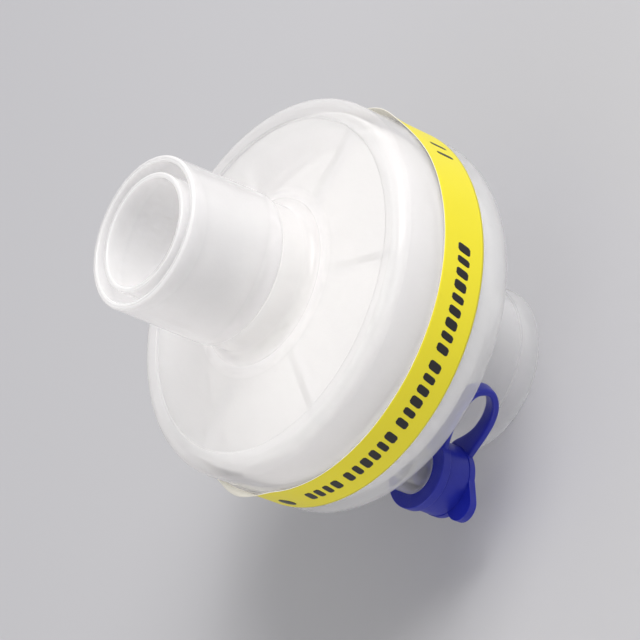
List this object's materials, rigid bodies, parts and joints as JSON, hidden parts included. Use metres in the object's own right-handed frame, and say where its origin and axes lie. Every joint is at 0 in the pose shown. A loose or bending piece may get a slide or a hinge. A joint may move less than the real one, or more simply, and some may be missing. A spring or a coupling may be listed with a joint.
{
  "type": "breathing circuit filter",
  "caption": "Round breathing circuit filter: two translucent shells round a filter pad, coaxial cone port, socket port, label band and a capped sampling port on a strap.",
  "frame": {"origin": "centre of the machine port's mouth, which is the end the filter stands on", "axes": "+Z along the common axis of both ports, towards the patient port; +X towards the sampling port"},
  "size_m": [0.0572, 0.0562, 0.0625],
  "materials": {
    "milky_plastic": "milky translucent, satin",
    "clear_plastic": "clear with a grey cast, glossy",
    "filter_fibre": "white felted fibre",
    "yellow_tape": "yellow label tape",
    "blue_plastic": "dark blue soft plastic, satin"
  },
  "bodies": {
    "housing": {"front_housing": "milky_plastic", "rear_housing": "clear_plastic", "filter_media": "filter_fibre", "label_band": "yellow_tape"},
    "tether": {"tether_ring": "blue_plastic", "tether_strap": "blue_plastic"},
    "cap": {"luer_cap": "blue_plastic"}
  },
  "joints": [
    {"name": "tether_swivel", "type": "hinge", "parent": "housing", "child": "tether", "pos_m": [0.0218, 0, 0.01485], "axis": [0, 0, 1], "range_deg": [-250, 8]},
    {"name": "cap_pull", "type": "slide", "parent": "tether", "child": "cap", "axis": [0, 0, -1], "range_m": [0, 0.0065], "deforming": ["tether_strap"]}
  ]
}
